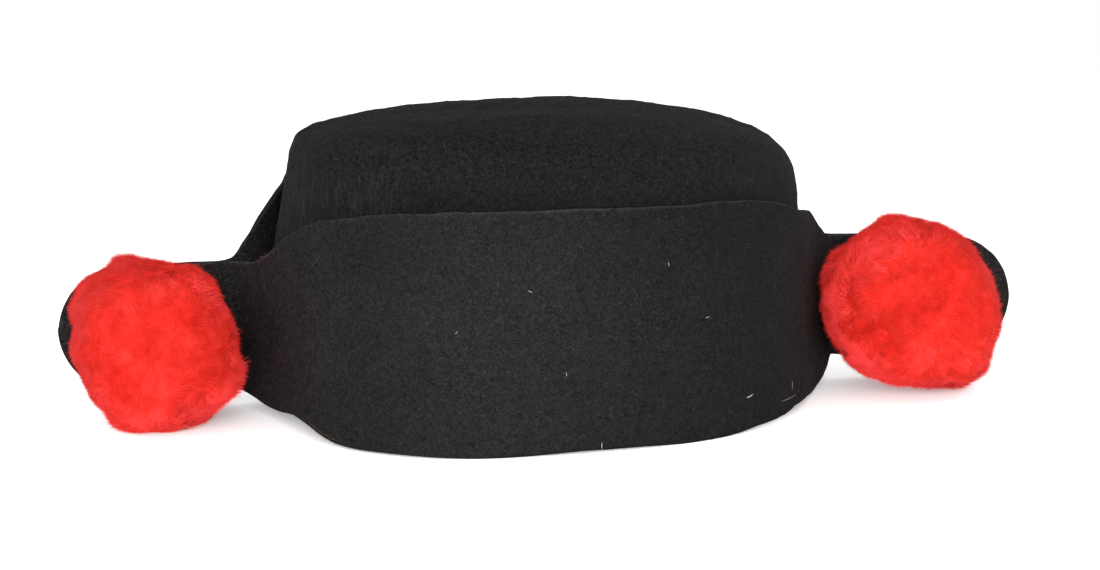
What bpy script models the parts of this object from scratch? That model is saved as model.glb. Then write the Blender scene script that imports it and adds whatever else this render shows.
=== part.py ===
"""A matador's hat of black felt, with a red plush pompom on each ear.

The crown is one blocked felt cap, hollow and open below. A felt panel lies in front of it and
another behind it. Where the panels leave the crown, at the left and right, their rounded ends
meet face to face as two ears, and a pompom sits on the front face of each ear.

Units are metres, +Z is up and the hat faces -Y, so +X is at the viewer's right. The origin is
the middle of the hat's outline, on the surface that it rests on. A heading is an angle in
degrees about +Z, with 0 at the right and 270 at the front.
"""

import math
from collections import namedtuple

import bmesh
import bpy
from mathutils import Vector

# The crown: outer sizes at its foot, its heights, and its felt
CROWN_WIDTH = 0.1790
CROWN_DEPTH = 0.1960
CROWN_HEIGHT = 0.1045
LEFT_SHOULDER = 0.0930
RIGHT_SHOULDER = 0.0840
CROWN_FELT = 0.0022
CROWN_ASIDE = -0.0025

# The felt panels in front of the crown and behind it
PANEL_HEIGHT = 0.0745
PANEL_FELT = 0.0024

# The ears: how far their rounded ends lie from the crown's side, and their height
EAR_REACH = 0.0805
EAR_HEIGHT = 0.0452
EAR_LIFT = 0.0062

# The pompoms: their sizes, their depth as a share of that, and how near the ear a pompom's
# middle is pressed, as a share of its half depth
LEFT_POMPOM_SIZE = 0.0590
RIGHT_POMPOM_SIZE = 0.0622
POMPOM_DEPTH_SHARE = 0.98
PRESSED_SHARE = 0.90

# The locks of plush on a pompom's head: how far they reach round it from its front, as a share
# of its depth, and the share of their height by which the head is smaller than the pompom
LOCK_LENGTH = 0.0260
LOCK_WIDTH = 0.0145
LOCK_HEIGHT = 0.0026
LOCK_COUNT = 40
LOCK_COVER_SHARE = 0.81
LOCK_PROUD_SHARE = 0.6

# Pieces that touch are built this far apart
GAP = 0.0003

# How finely the pieces are faceted
CROWN_SEGMENTS = 60
FLARE_STATIONS = 7
EAR_STATIONS = 2
EAR_END_STATIONS = 7
EAR_TIP_TURN = 9.0
HEADING_STEP = 0.5
PANEL_ROWS = 4
HEAD_SEGMENTS = 20
HEAD_RINGS = 11

# How square the crown's plan is at each corner: 2 is an ellipse, more is boxier. The corners
# are the back right, the back left, the front left and the front right one.
Corner = namedtuple("Corner", "heading squareness")
CORNERS = (
    Corner(45, 2.30),
    Corner(135, 2.45),
    Corner(225, 2.65),
    Corner(315, 2.05),
)

# The crown's section from its foot to the middle of its top. Spread is a share of the plan's
# half width, wall a share of the shoulder's height, and dome a share of the rise above it. Slump
# is the share of the foot's slump that is left there.
Section = namedtuple("Section", "spread wall dome slump")
CROWN_SECTIONS = (
    Section(1.000, 0.00, 0.00, 1.00),
    Section(1.000, 0.40, 0.00, 1.00),
    Section(0.999, 0.56, 0.00, 0.95),
    Section(0.996, 0.70, 0.00, 0.60),
    Section(0.987, 0.86, 0.00, 0.08),
    Section(0.968, 0.96, 0.00, 0.00),
    Section(0.925, 1.00, 0.15, 0.00),
    Section(0.820, 1.00, 0.44, 0.00),
    Section(0.640, 1.00, 0.70, 0.00),
    Section(0.400, 1.00, 0.885, 0.00),
    Section(0.180, 1.00, 0.97, 0.00),
)

# The crown's soft foot slumps outwards at its left, where no panel holds it: its middle's heading,
# the heading that it reaches either way, and how far out it goes
SLUMP_HEADING = 190.0
SLUMP_REACH = 28.0
SLUMP_OUT = 0.0054

# Beside that slump, where the front panel leaves the crown, the foot lies clear of the surface:
# its middle's heading, the heading that it reaches either way, how high it rises, and the share
# of the shoulder's height that the rise fades over
FOOT_HEADING = 202.0
FOOT_REACH = 16.0
FOOT_RISE = 0.0029
FOOT_SHARE = 0.40

# Where a panel stands off the crown, as a share of the crown's width, and over what heading
Bend = namedtuple("Bend", "heading stand_off reach")
FRONT_BENDS = (
    Bend(224, 0.018, 36),
    Bend(250, 0.030, 26),
)
BACK_BENDS = (
    Bend(90, 0.004, 40),
)

# One side of a panel: the heading where it leaves the crown, where it reaches the ear (a share
# of the ear's reach), and how far each end of the curve between keeps its direction (shares of
# that curve's span)
Flare = namedtuple("Flare", "leaves root crown_pull ear_pull")
FRONT_LEFT = Flare(216, 0.27, 0.50, 0.10)
FRONT_RIGHT = Flare(330, 0.18, 0.50, 0.08)
BACK_LEFT = Flare(162, 0.27, 0.36, 0.24)
BACK_RIGHT = Flare(24, 0.18, 0.42, 0.12)

# A panel's edges between its two ears. Place is a share of the way from the left ear to the
# right one, below 0 and above 1 in the ears themselves, top a share of the panel's height above
# the ear, and bottom a share of the ear's lift.
Edge = namedtuple("Edge", "place top bottom")
FRONT_EDGES = (
    Edge(0.000, -0.05, 1.00),
    Edge(0.050, 0.00, 0.69),
    Edge(0.082, 0.11, 0.545),
    Edge(0.122, 0.31, 0.62),
    Edge(0.165, 0.52, 0.81),
    Edge(0.212, 0.71, 0.60),
    Edge(0.260, 0.83, 0.16),
    Edge(0.340, 0.95, 0.10),
    Edge(0.430, 0.97, 0.00),
    Edge(0.530, 0.965, 0.14),
    Edge(0.620, 0.96, 0.00),
    Edge(0.670, 0.965, 0.03),
    Edge(0.713, 0.93, 0.22),
    Edge(0.755, 0.85, 0.47),
    Edge(0.785, 0.76, 0.45),
    Edge(0.810, 0.69, 0.42),
    Edge(0.870, 0.61, 0.25),
    Edge(0.893, 0.53, 0.155),
    Edge(0.925, 0.36, 0.21),
    Edge(0.957, 0.18, 0.48),
    Edge(0.975, 0.10, 0.96),
    Edge(0.986, 0.07, 1.50),
    Edge(1.000, 0.07, 1.50),
    Edge(1.070, 0.03, 1.15),
    Edge(1.140, -0.01, 1.00),
)
BACK_EDGES = (
    Edge(-0.050, -0.05, 1.00),
    Edge(0.000, 0.00, 1.00),
    Edge(0.018, 0.25, 0.95),
    Edge(0.044, 0.61, 0.88),
    Edge(0.069, 0.88, 0.80),
    Edge(0.092, 1.04, 0.70),
    Edge(0.120, 1.19, 0.60),
    Edge(0.180, 1.14, 0.40),
    Edge(0.280, 1.03, 0.12),
    Edge(0.350, 1.00, 0.00),
    Edge(0.650, 1.00, 0.00),
    Edge(0.740, 0.92, 0.15),
    Edge(0.860, 0.60, 0.60),
    Edge(0.960, 0.12, 0.95),
    Edge(1.000, 0.07, 1.50),
    Edge(1.070, 0.03, 1.15),
    Edge(1.140, -0.01, 1.00),
)

# A pompom: where its middle lies, inwards from the middle of the ear's rounded end and up from
# the ear's middle, both as shares of the ear's height, and how it is combed
Pompom = namedtuple("Pompom", "name side size inwards upwards comb outline")
# How far a pompom's edge reaches at each twelfth of a turn, as shares of its half size. The
# first is at the viewer's right and the next ones go up and over.
LEFT_OUTLINE = (0.96, 0.93, 1.01, 0.96, 1.03, 1.09, 0.98, 0.93, 1.02, 1.01, 1.03, 1.06)
RIGHT_OUTLINE = (1.01, 0.95, 0.95, 0.99, 1.02, 1.07, 1.00, 0.98, 0.96, 0.95, 1.07, 1.05)
POMPOMS = (
    Pompom("pompom_left", -1, LEFT_POMPOM_SIZE, 0.270, -0.055, 0.4, LEFT_OUTLINE),
    Pompom("pompom_right", 1, RIGHT_POMPOM_SIZE, 0.550, 0.038, 2.1, RIGHT_OUTLINE),
)

# The locks turn about the pompom in broad swirls. Each row bends their way by its strength, in
# radians, in a wave whose rates are per half size across, along and up.
Swirl = namedtuple("Swirl", "strength across along up phase")
SWIRLS = (
    Swirl(0.9, 1.7, 0.0, 0.0, 0.4),
    Swirl(0.8, 0.0, -1.0, 2.0, 1.6),
)

# A lock from its root to its tip: its width is a share of the lock's width, and its crest, edge
# and root lie above the head by shares of the lock's height
LockSection = namedtuple("LockSection", "along width crest edge root")
LOCK_SECTIONS = (
    LockSection(0.00, 0.45, -0.20, -1.20, -1.80),
    LockSection(0.30, 1.00, 0.75, -0.80, -1.80),
    LockSection(0.65, 0.85, 1.00, -0.75, -1.80),
    LockSection(0.90, 0.42, 1.10, -0.70, -1.80),
)
LOCK_TIP_SHARE = -0.25

# The corners round a lock's section: how far aside each lies, and which of its levels it has
LockCorner = namedtuple("LockCorner", "aside level")
LOCK_CORNERS = (
    LockCorner(-1.00, "edge"),
    LockCorner(-0.45, "crest"),
    LockCorner(0.45, "crest"),
    LockCorner(1.00, "edge"),
    LockCorner(0.00, "root"),
)

FELT_COLOUR = (0.0122, 0.0126, 0.0138, 1.0)
FELT_ROUGHNESS = 0.95
PLUSH_COLOUR = (0.80, 0.030, 0.024, 1.0)
PLUSH_ROUGHNESS = 0.80

Station = namedtuple("Station", "place normal bottom top")


def clear_scene():
    """Remove every object, so that the hat is built into an empty scene."""
    for item in list(bpy.data.objects):
        bpy.data.objects.remove(item, do_unlink=True)


def smooth_step(value):
    """Return 0 below 0, 1 above 1, and a smooth rise between."""
    value = min(max(value, 0.0), 1.0)
    return value * value * (3.0 - 2.0 * value)


def squareness(heading):
    """Return the plan's squareness: that of the nearest corner, easing to 2 on the axes."""
    turn = math.radians(heading)
    corner = min(CORNERS, key=lambda corner: abs(heading % 360.0 - corner.heading))
    return 2.0 + (corner.squareness - 2.0) * math.sin(2.0 * turn) ** 2


def crown_plan(heading, spread=1.0):
    """Return the point of the crown's plan at a heading, shrunk to a share of its half width."""
    turn = math.radians(heading)
    power = squareness(heading)
    across = abs(math.cos(turn)) / (CROWN_WIDTH / 2.0)
    along = abs(math.sin(turn)) / (CROWN_DEPTH / 2.0)
    reach = spread * (across ** power + along ** power) ** (-1.0 / power)
    return Vector((CROWN_ASIDE + reach * math.cos(turn), reach * math.sin(turn)))


def crown_normal(heading):
    """Return the outward direction of the crown's plan at a heading."""
    along = crown_plan(heading + HEADING_STEP) - crown_plan(heading - HEADING_STEP)
    return Vector((along.y, -along.x)).normalized()


def slump(heading):
    """Return how the crown's foot has slumped from its plan at a heading."""
    share = 1.0 - abs(heading - SLUMP_HEADING) / SLUMP_REACH
    return crown_normal(heading) * SLUMP_OUT * smooth_step(share)


def foot_rise(heading):
    """Return how far the crown's foot lies clear of the surface at a heading."""
    return FOOT_RISE * smooth_step(1.0 - abs(heading - FOOT_HEADING) / FOOT_REACH)


def stand_off(heading, bends):
    """Return how far a panel stands off the crown at a heading."""
    total = 0.0
    for bend in bends:
        share = 1.0 - abs(heading - bend.heading) / bend.reach
        total += bend.stand_off * CROWN_WIDTH * smooth_step(share)
    return total


def contact_place(heading, bends):
    """Return the middle of a panel's felt where it lies against the crown."""
    clearance = GAP + PANEL_FELT / 2.0 + stand_off(heading, bends)
    return crown_plan(heading) + crown_normal(heading) * clearance


def bezier(start, start_pull, end_pull, end, share):
    """Return a point on the cubic curve through start and end."""
    rest = 1.0 - share
    return (start * rest ** 3 + start_pull * (3.0 * rest * rest * share)
            + end_pull * (3.0 * rest * share * share) + end * share ** 3)


def ear_end(side):
    """Return how far across the rounded end of an ear lies: side is -1 or 1."""
    return side * (CROWN_WIDTH / 2.0 + EAR_REACH)


def side_places(side, facing, flare, bends):
    """Return a panel's places from its ear's end to the crown, with each one's ear height."""
    aside = facing * (GAP + PANEL_FELT) / 2.0
    root = Vector((side * (CROWN_WIDTH / 2.0 + EAR_REACH * flare.root), aside))
    radius = EAR_HEIGHT / 2.0
    end = ear_end(side)
    places = []
    for index in range(EAR_END_STATIONS):
        turn = math.radians(EAR_TIP_TURN + (90.0 - EAR_TIP_TURN) * index / EAR_END_STATIONS)
        place = Vector((end - side * radius * (1.0 - math.cos(turn)), aside))
        places.append((place, radius * math.sin(turn)))
    for index in range(EAR_STATIONS):
        share = index / EAR_STATIONS
        start = end - side * radius
        places.append((Vector((start + (root.x - start) * share, aside)), radius))
    start = contact_place(flare.leaves, bends)
    direction = start - contact_place(flare.leaves + side * facing * HEADING_STEP, bends)
    span = (root - start).length
    start_pull = start + direction.normalized() * span * flare.crown_pull
    end_pull = root - Vector((side * span * flare.ear_pull, 0.0))
    for index in range(FLARE_STATIONS):
        share = index / FLARE_STATIONS
        places.append((bezier(root, end_pull, start_pull, start, share), radius))
    return places


def contact_headings(start, end):
    """Return the headings from start to end: both of them and the crown's own corners between."""
    step = 360.0 / CROWN_SEGMENTS
    between = [step * index for index in range(CROWN_SEGMENTS + 1)]
    low, high = min(start, end), max(start, end)
    inner = [turn for turn in between if low + HEADING_STEP < turn < high - HEADING_STEP]
    headings = [low] + inner + [high]
    return headings if start < end else headings[::-1]


def read_edges(edges, place):
    """Return a panel's top and bottom shares at a place, on a smooth curve through the rows."""
    index = 0
    while index < len(edges) - 2 and place > edges[index + 1].place:
        index += 1
    low, high = edges[index], edges[index + 1]
    before = edges[max(index - 1, 0)]
    after = edges[min(index + 2, len(edges) - 1)]
    width = high.place - low.place
    share = min(max((place - low.place) / width, 0.0), 1.0)
    weights = (2 * share ** 3 - 3 * share ** 2 + 1, share ** 3 - 2 * share ** 2 + share,
               3 * share ** 2 - 2 * share ** 3, share ** 3 - share ** 2)
    values = []
    for column in ("top", "bottom"):
        ends = getattr(low, column), getattr(high, column)
        slopes = ((ends[1] - getattr(before, column)) / (high.place - before.place),
                  (getattr(after, column) - ends[0]) / (after.place - low.place))
        value = (weights[0] * ends[0] + weights[1] * slopes[0] * width
                 + weights[2] * ends[1] + weights[3] * slopes[1] * width)
        values.append(value)
    return values


def panel_plan(facing, left, right, bends, edges):
    """Return a panel's stations from the left ear's end to the right one's."""
    left_places = side_places(-1, facing, left, bends)
    right_places = side_places(1, facing, right, bends)
    contact = [(contact_place(heading, bends), EAR_HEIGHT / 2.0)
               for heading in contact_headings(left.leaves, right.leaves)]
    places = left_places + contact + right_places[::-1]
    lengths = [0.0]
    for before, after in zip(places, places[1:]):
        lengths.append(lengths[-1] + (after[0] - before[0]).length)
    ear = EAR_STATIONS + EAR_END_STATIONS
    start, end = lengths[ear], lengths[-1 - ear]
    stations = []
    for index, (place, half) in enumerate(places):
        top_share, bottom_share = read_edges(edges, (lengths[index] - start) / (end - start))
        middle = EAR_LIFT + EAR_HEIGHT / 2.0
        top = middle + half + (PANEL_HEIGHT - middle - half) * top_share
        bottom = (middle - half) * max(bottom_share, 0.0)
        along = places[min(index + 1, len(places) - 1)][0] - places[max(index - 1, 0)][0]
        normal = Vector((along.y, -along.x)).normalized() * -facing
        stations.append(Station(place, normal, bottom, top))
    return stations


def plain_material(name, colour, roughness):
    """Return a Principled material without metal."""
    material = bpy.data.materials.new(name)
    material.use_nodes = True
    shader = material.node_tree.nodes["Principled BSDF"]
    shader.inputs["Base Color"].default_value = colour
    shader.inputs["Roughness"].default_value = roughness
    shader.inputs["Metallic"].default_value = 0.0
    return material


def finish_object(name, mesh, material, parent):
    """Make an object of a mesh, shaded smooth, with its material and its parent."""
    mesh.shade_smooth()
    item = bpy.data.objects.new(name, mesh)
    bpy.context.collection.objects.link(item)
    item.data.materials.append(material)
    item.parent = parent
    return item


def add_felt(item, thickness, offset):
    """Give a sheet its felt: offset is 0 for both sides of the sheet and -1 for its inside."""
    felt = item.modifiers.new("felt", "SOLIDIFY")
    felt.thickness = thickness
    felt.offset = offset
    felt.use_even_offset = True
    felt.use_rim = True


def make_crown(material, parent):
    """Loft the crown's outer face from its foot to the middle of its top, and give it its felt."""
    builder = bmesh.new()
    rings = []
    headings = [360.0 * index / CROWN_SEGMENTS for index in range(CROWN_SEGMENTS)]
    for section in CROWN_SECTIONS:
        ring = []
        for heading in headings:
            tilt = math.cos(math.radians(heading))
            shoulder = (RIGHT_SHOULDER + LEFT_SHOULDER) / 2.0
            shoulder += (RIGHT_SHOULDER - LEFT_SHOULDER) / 2.0 * tilt
            height = shoulder * section.wall + (CROWN_HEIGHT - shoulder) * section.dome
            height += foot_rise(heading) * max(0.0, 1.0 - section.wall / FOOT_SHARE)
            place = crown_plan(heading, section.spread) + slump(heading) * section.slump
            ring.append(builder.verts.new((place.x, place.y, height)))
        rings.append(ring)
    for lower, upper in zip(rings, rings[1:]):
        for index in range(CROWN_SEGMENTS):
            after = (index + 1) % CROWN_SEGMENTS
            builder.faces.new((lower[index], lower[after], upper[after], upper[index]))
    middle = builder.verts.new((CROWN_ASIDE, 0.0, CROWN_HEIGHT))
    for index in range(CROWN_SEGMENTS):
        builder.faces.new((rings[-1][index], rings[-1][(index + 1) % CROWN_SEGMENTS], middle))
    mesh = bpy.data.meshes.new("crown")
    builder.to_mesh(mesh)
    builder.free()
    add_felt(finish_object("crown", mesh, material, parent), CROWN_FELT, -1.0)


def make_panel(name, stations, material, parent):
    """Make a panel of felt that stands upright along its stations."""
    builder = bmesh.new()
    columns = []
    for stop in stations:
        column = []
        for row in range(PANEL_ROWS + 1):
            height = stop.bottom + (stop.top - stop.bottom) * row / PANEL_ROWS
            column.append(builder.verts.new((stop.place.x, stop.place.y, height)))
        columns.append(column)
    for left, right in zip(columns, columns[1:]):
        for row in range(PANEL_ROWS):
            builder.faces.new((left[row], right[row], right[row + 1], left[row + 1]))
    mesh = bpy.data.meshes.new(name)
    builder.to_mesh(mesh)
    builder.free()
    add_felt(finish_object(name, mesh, material, parent), PANEL_FELT, 0.0)


def outline_reach(outline, around):
    """Return a pompom's reach at an angle, eased between the shares of its outline."""
    place = (around / (2.0 * math.pi) * len(outline)) % len(outline)
    index = int(place)
    share = smooth_step(place - index)
    after = outline[(index + 1) % len(outline)]
    return outline[index] + (after - outline[index]) * share


def ball_point(pompom, direction, lift):
    """Return the point of a pompom's head in a direction, raised by a lift."""
    half = pompom.size / 2.0 - LOCK_HEIGHT * LOCK_PROUD_SHARE
    edge = math.hypot(direction.x, direction.z)
    outline = outline_reach(pompom.outline, math.atan2(direction.z, direction.x))
    reach = half * (1.0 + (outline - 1.0) * edge) + lift
    depth = reach * POMPOM_DEPTH_SHARE
    return Vector((direction.x * reach, direction.y * depth, direction.z * reach))


def add_head(builder, pompom):
    """Add the pompom's head: a ball with its poles at the front and the back."""
    rings = []
    for ring in range(1, HEAD_RINGS):
        tilt = math.pi * ring / HEAD_RINGS
        points = []
        for index in range(HEAD_SEGMENTS):
            around = 2.0 * math.pi * index / HEAD_SEGMENTS
            direction = Vector((math.sin(tilt) * math.cos(around), -math.cos(tilt),
                                math.sin(tilt) * math.sin(around)))
            points.append(builder.verts.new(ball_point(pompom, direction, 0.0)))
        rings.append(points)
    front = builder.verts.new(ball_point(pompom, Vector((0.0, -1.0, 0.0)), 0.0))
    back = builder.verts.new(ball_point(pompom, Vector((0.0, 1.0, 0.0)), 0.0))
    for index in range(HEAD_SEGMENTS):
        after = (index + 1) % HEAD_SEGMENTS
        builder.faces.new((front, rings[0][index], rings[0][after]))
        builder.faces.new((back, rings[-1][after], rings[-1][index]))
        for inner, outer in zip(rings, rings[1:]):
            builder.faces.new((inner[index], outer[index], outer[after], inner[after]))


def comb_direction(root, comb):
    """Return the way that a lock lies at a place on the ball, in broad swirls."""
    side = root.cross(Vector((0.0, 0.0, 1.0))).normalized()
    up = side.cross(root).normalized()
    turn = comb
    for swirl in SWIRLS:
        wave = swirl.across * root.x + swirl.along * root.y + swirl.up * root.z
        turn += swirl.strength * math.sin(wave + swirl.phase)
    return side * math.cos(turn) + up * math.sin(turn)


def add_lock(builder, pompom, root, along):
    """Add one tapered lock of plush, which rises from its root to a blunt tip."""
    half = pompom.size / 2.0
    axis = root.cross(along).normalized()
    rings = []
    for section in LOCK_SECTIONS:
        turn = section.along * LOCK_LENGTH / half
        middle = root * math.cos(turn) + along * math.sin(turn)
        wide = section.width * LOCK_WIDTH / 2.0 / half
        ring = []
        for corner in LOCK_CORNERS:
            direction = (middle + axis * wide * corner.aside).normalized()
            lift = getattr(section, corner.level) * LOCK_HEIGHT
            ring.append(builder.verts.new(ball_point(pompom, direction, lift)))
        rings.append(ring)
    turn = LOCK_LENGTH / half
    middle = root * math.cos(turn) + along * math.sin(turn)
    tip = builder.verts.new(ball_point(pompom, middle, LOCK_TIP_SHARE * LOCK_HEIGHT))
    builder.faces.new(rings[0])
    sides = len(LOCK_CORNERS)
    for index in range(sides):
        after = (index + 1) % sides
        for lower, upper in zip(rings, rings[1:]):
            builder.faces.new((lower[index], upper[index], upper[after], lower[after]))
        builder.faces.new((rings[-1][index], tip, rings[-1][after]))


def mesh_from(builder, name):
    """Turn a bmesh into a mesh whose faces point out."""
    bmesh.ops.recalc_face_normals(builder, faces=builder.faces)
    mesh = bpy.data.meshes.new(name)
    builder.to_mesh(mesh)
    builder.free()
    return mesh


def make_cutter(name, mesh, parent):
    """Make an object that only cuts others."""
    cutter = bpy.data.objects.new(name, mesh)
    bpy.context.collection.objects.link(cutter)
    cutter.hide_render = True
    cutter.display_type = "WIRE"
    cutter.parent = parent
    return cutter


def add_boolean(item, name, operation, other):
    """Join or cut an object by another one."""
    step = item.modifiers.new(name, "BOOLEAN")
    step.operation = operation
    step.solver = "EXACT"
    step.use_self = True
    step.object = other


def lock_roots(pompom):
    """Return directions spread evenly over the ball, apart from its back."""
    golden = math.pi * (3.0 - math.sqrt(5.0))
    roots = []
    for index in range(LOCK_COUNT):
        depth = 2.0 * LOCK_COVER_SHARE * (index + 0.5) / LOCK_COUNT - 1.0
        ring = math.sqrt(1.0 - depth * depth)
        around = golden * index + pompom.comb
        roots.append(Vector((ring * math.cos(around), depth, ring * math.sin(around))))
    return roots


def make_pompom(pompom, seat, floor, material, parent):
    """Make a pompom: a head with its locks fused to it, pressed flat where it touches felt."""
    head = bmesh.new()
    add_head(head, pompom)
    item = finish_object(pompom.name, mesh_from(head, pompom.name), material, parent)
    locks = bmesh.new()
    for root in lock_roots(pompom):
        along = comb_direction(root, pompom.comb)
        add_lock(locks, pompom, root, along)
    plush = make_cutter(pompom.name + "_locks", mesh_from(locks, "locks"), item)
    radius = EAR_HEIGHT / 2.0
    middle = ear_end(pompom.side) - pompom.side * (radius + pompom.inwards * EAR_HEIGHT)
    front = (GAP + PANEL_FELT) / 2.0 + PANEL_FELT / 2.0 + GAP
    depth = pompom.size / 2.0 * POMPOM_DEPTH_SHARE * PRESSED_SHARE
    height = EAR_LIFT + radius + pompom.upwards * EAR_HEIGHT
    item.location = (middle, -front - depth, height)
    add_boolean(item, "locks", "UNION", plush)
    add_boolean(item, "seat", "DIFFERENCE", seat)
    add_boolean(item, "floor", "DIFFERENCE", floor)


def make_seat(stations, parent):
    """Make the cutter that keeps the pompoms clear of the front panel's outer face."""
    clearance = PANEL_FELT / 2.0 + GAP
    plan = [stop.place + stop.normal * clearance for stop in stations]
    beyond = Vector((EAR_REACH, 0.0))
    behind = Vector((0.0, CROWN_DEPTH / 2.0))
    plan = [plan[0] - beyond] + plan + [plan[-1] + beyond]
    plan = plan + [plan[-1] + behind, plan[0] + behind]
    return make_cutter("pompom_seat", prism(plan, -CROWN_HEIGHT, 2.0 * CROWN_HEIGHT), parent)


def prism(plan, bottom, top):
    """Return the mesh of an upright prism over a plan."""
    builder = bmesh.new()
    corners = [builder.verts.new((point.x, point.y, bottom)) for point in plan]
    base = builder.faces.new(corners)
    raised = bmesh.ops.extrude_face_region(builder, geom=[base])
    moved = [part for part in raised["geom"] if isinstance(part, bmesh.types.BMVert)]
    bmesh.ops.translate(builder, verts=moved, vec=(0.0, 0.0, top - bottom))
    return mesh_from(builder, "prism")


def make_floor(parent):
    """Make the cutter that flattens the plush where it rests on the surface below the hat."""
    reach = Vector((CROWN_WIDTH + EAR_REACH, CROWN_DEPTH))
    plan = [Vector((reach.x * across, reach.y * along))
            for across, along in ((-1, -1), (1, -1), (1, 1), (-1, 1))]
    return make_cutter("floor_block", prism(plan, -CROWN_HEIGHT, 0.0), parent)


def make_hat():
    """Make the whole hat, standing on z = 0 with its outline centred on the origin."""
    clear_scene()
    front = panel_plan(-1, FRONT_LEFT, FRONT_RIGHT, FRONT_BENDS, FRONT_EDGES)
    back = panel_plan(1, BACK_LEFT, BACK_RIGHT, BACK_BENDS, BACK_EDGES)
    hat = bpy.data.objects.new("hat", None)
    bpy.context.collection.objects.link(hat)
    depths = [stop.place.y for stop in front + back]
    hat.location.y = -(min(depths) + max(depths)) / 2.0
    felt = plain_material("felt", FELT_COLOUR, FELT_ROUGHNESS)
    plush = plain_material("plush", PLUSH_COLOUR, PLUSH_ROUGHNESS)
    make_crown(felt, hat)
    make_panel("front_panel", front, felt, hat)
    make_panel("back_panel", back, felt, hat)
    seat = make_seat(front, hat)
    floor = make_floor(hat)
    for pompom in POMPOMS:
        make_pompom(pompom, seat, floor, plush, hat)


make_hat()
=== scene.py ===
"""The matador hat's looks: felt, plush, loose fibres, light and camera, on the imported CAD.

Everything is in metres in the CAD's frame: +Z is up, the hat faces -Y, and its outline is
centred on the origin. The felt pieces follow the same plans, edges and sections as the CAD, on
finer meshes. A heading is an angle in degrees about +Z, with 0 at the right and 270 in front.
"""

from collections import namedtuple
from math import cos, pi, radians, sin, sqrt

import bpy
import numpy as np
from mathutils import Matrix, Vector
from mathutils.bvhtree import BVHTree


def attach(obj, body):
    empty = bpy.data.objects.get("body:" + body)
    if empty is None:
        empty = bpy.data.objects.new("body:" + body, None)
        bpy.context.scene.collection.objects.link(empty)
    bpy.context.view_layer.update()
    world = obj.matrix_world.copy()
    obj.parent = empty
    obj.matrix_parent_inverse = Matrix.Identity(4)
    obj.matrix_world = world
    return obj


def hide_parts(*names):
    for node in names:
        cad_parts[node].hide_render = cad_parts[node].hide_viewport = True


def table(columns, *rows):
    """Return rows whose columns have names."""
    kind = namedtuple("Row", columns)
    return tuple(kind(*row) for row in rows)


# The photograph's frame, and the camera that took it
PHOTO_WIDTH = 1100
PHOTO_HEIGHT = 570
FOCAL_PIXELS = 1767.0
CAMERA_TURN = radians(8.0)
CAMERA_PITCH = radians(7.5)
CAMERA_ROLL = radians(-1.01)
CAMERA_DISTANCE = 0.621
CAMERA_HEIGHT = 0.11996
SENSOR_WIDTH = 36.0

# The felt pieces' sizes, as in the CAD
CROWN_WIDTH = 0.1790
CROWN_DEPTH = 0.1960
CROWN_HEIGHT = 0.1045
LEFT_SHOULDER = 0.0930
RIGHT_SHOULDER = 0.0840
CROWN_FELT = 0.0022
CROWN_ASIDE = -0.0025
PANEL_HEIGHT = 0.0745
PANEL_FELT = 0.0024
EAR_REACH = 0.0805
EAR_HEIGHT = 0.0452
EAR_LIFT = 0.0062
GAP = 0.0003

CORNERS = table("heading squareness", (45, 2.30), (135, 2.45), (225, 2.65), (315, 2.05))

# The crown's sections, numbered from its foot to its top, and at each the share of the plan's half
# width, of the shoulder's height, of the rise above it, and of the foot's slump at its left
CROWN_SECTIONS = (
    (0, 1.000, 0.00, 0.00, 1.00),
    (1, 1.000, 0.40, 0.00, 1.00),
    (2, 0.999, 0.56, 0.00, 0.95),
    (3, 0.996, 0.70, 0.00, 0.60),
    (4, 0.987, 0.86, 0.00, 0.08),
    (5, 0.968, 0.96, 0.00, 0.00),
    (6, 0.925, 1.00, 0.15, 0.00),
    (7, 0.820, 1.00, 0.44, 0.00),
    (8, 0.640, 1.00, 0.70, 0.00),
    (9, 0.400, 1.00, 0.885, 0.00),
    (10, 0.180, 1.00, 0.97, 0.00),
    (11, 0.020, 1.00, 1.00, 0.00),
)

SLUMP_HEADING = 190.0
SLUMP_REACH = 28.0
SLUMP_OUT = 0.0054
FOOT_HEADING = 202.0
FOOT_REACH = 16.0
FOOT_RISE = 0.0029
FOOT_SHARE = 0.40

FRONT_BENDS = table("heading stand_off reach", (224, 0.018, 36), (250, 0.030, 26))
BACK_BENDS = table("heading stand_off reach", (90, 0.004, 40))

Flare = namedtuple("Flare", "leaves root crown_pull ear_pull")
FRONT_LEFT = Flare(216, 0.27, 0.50, 0.10)
FRONT_RIGHT = Flare(330, 0.18, 0.50, 0.08)
BACK_LEFT = Flare(162, 0.27, 0.36, 0.24)
BACK_RIGHT = Flare(24, 0.18, 0.42, 0.12)

# The panels' edges: the place from ear to ear, and the height of the top and of the bottom there,
# as shares from the ear's to the panel's and from the floor to the ear's
FRONT_EDGES = (
    (0.000, -0.05, 1.00),
    (0.050, 0.00, 0.69),
    (0.082, 0.11, 0.545),
    (0.122, 0.31, 0.62),
    (0.165, 0.52, 0.81),
    (0.212, 0.71, 0.60),
    (0.260, 0.83, 0.16),
    (0.340, 0.95, 0.10),
    (0.430, 0.97, 0.00),
    (0.530, 0.965, 0.14),
    (0.620, 0.96, 0.00),
    (0.670, 0.965, 0.03),
    (0.713, 0.93, 0.22),
    (0.755, 0.85, 0.47),
    (0.785, 0.76, 0.45),
    (0.810, 0.69, 0.42),
    (0.870, 0.61, 0.25),
    (0.893, 0.53, 0.155),
    (0.925, 0.36, 0.21),
    (0.957, 0.18, 0.48),
    (0.975, 0.10, 0.96),
    (0.986, 0.07, 1.50),
    (1.000, 0.07, 1.50),
    (1.070, 0.03, 1.15),
    (1.140, -0.01, 1.00),
)
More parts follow.
